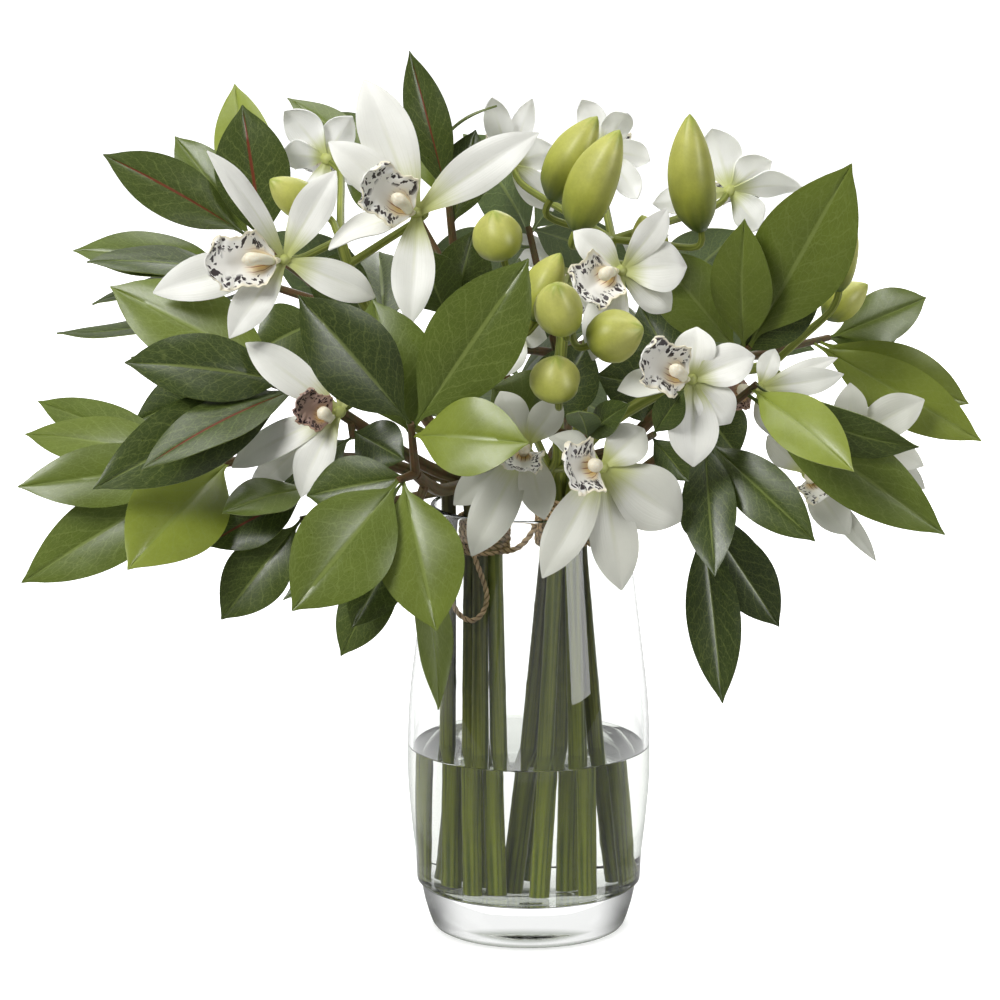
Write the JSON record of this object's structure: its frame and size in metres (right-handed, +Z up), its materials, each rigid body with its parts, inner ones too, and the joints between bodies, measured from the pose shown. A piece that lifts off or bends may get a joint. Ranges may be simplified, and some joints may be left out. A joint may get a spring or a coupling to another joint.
{
  "type": "cymbidium orchid arrangement",
  "caption": "White cymbidium orchid stems and broad evergreen sprays tied with twine, standing in a clear glass vase part filled with water.",
  "frame": {"origin": "centre of the vase's flat foot, on the table", "axes": "+Z up along the vase's axis, -Y towards the side the picture is taken from, +X to the right in the picture"},
  "size_m": [0.4275, 0.2948, 0.3977],
  "materials": {
    "petal": "satin white with a soft green base",
    "lip": "satin white with dark purple spots",
    "leaf": "waxy dark green with paler veins",
    "orchid_green": "waxy yellow green",
    "twine": "rough twisted jute",
    "glass": "clear polished glass",
    "water": "clear still water"
  },
  "bodies": {
    "root": {"bloom_a_lip": "lip", "bloom_a_tepals": "petal", "bloom_b_lip": "lip", "bloom_b_tepals": "petal", "bloom_c_lip": "lip", "bloom_c_tepals": "petal", "bloom_d_lip": "lip", "bloom_d_tepals": "petal", "bloom_e_lip": "lip", "bloom_e_tepals": "petal", "bloom_f_lip": "lip", "bloom_f_tepals": "petal", "bloom_g_lip": "lip", "bloom_g_tepals": "petal", "bloom_h_lip": "lip", "bloom_h_tepals": "petal", "bloom_i_lip": "lip", "bloom_i_tepals": "petal", "bloom_j_lip": "lip", "bloom_j_tepals": "petal", "bloom_k_lip": "lip", "bloom_k_tepals": "petal", "bloom_l_lip": "lip", "bloom_l_tepals": "petal", "bloom_m_lip": "lip", "bloom_m_tepals": "petal", "bloom_n_lip": "lip", "bloom_n_tepals": "petal", "bloom_o_lip": "lip", "bloom_o_tepals": "petal", "bloom_p_lip": "lip", "bloom_p_tepals": "petal", "leafy_stem_back": "leaf", "leafy_stem_centre": "leaf", "leafy_stem_front": "leaf", "leafy_stem_left": "leaf", "leafy_stem_low_left": "leaf", "leafy_stem_right": "leaf", "leafy_stem_top": "leaf", "leafy_stem_upper_left": "leaf", "leafy_stem_upper_right": "leaf", "orchid_stem_centre": "orchid_green", "orchid_stem_left": "orchid_green", "orchid_stem_right": "orchid_green", "orchid_stem_top": "orchid_green", "twine_loop": "twine", "twine_ties": "twine", "vase": "glass", "water": "water"}
  },
  "joints": []
}
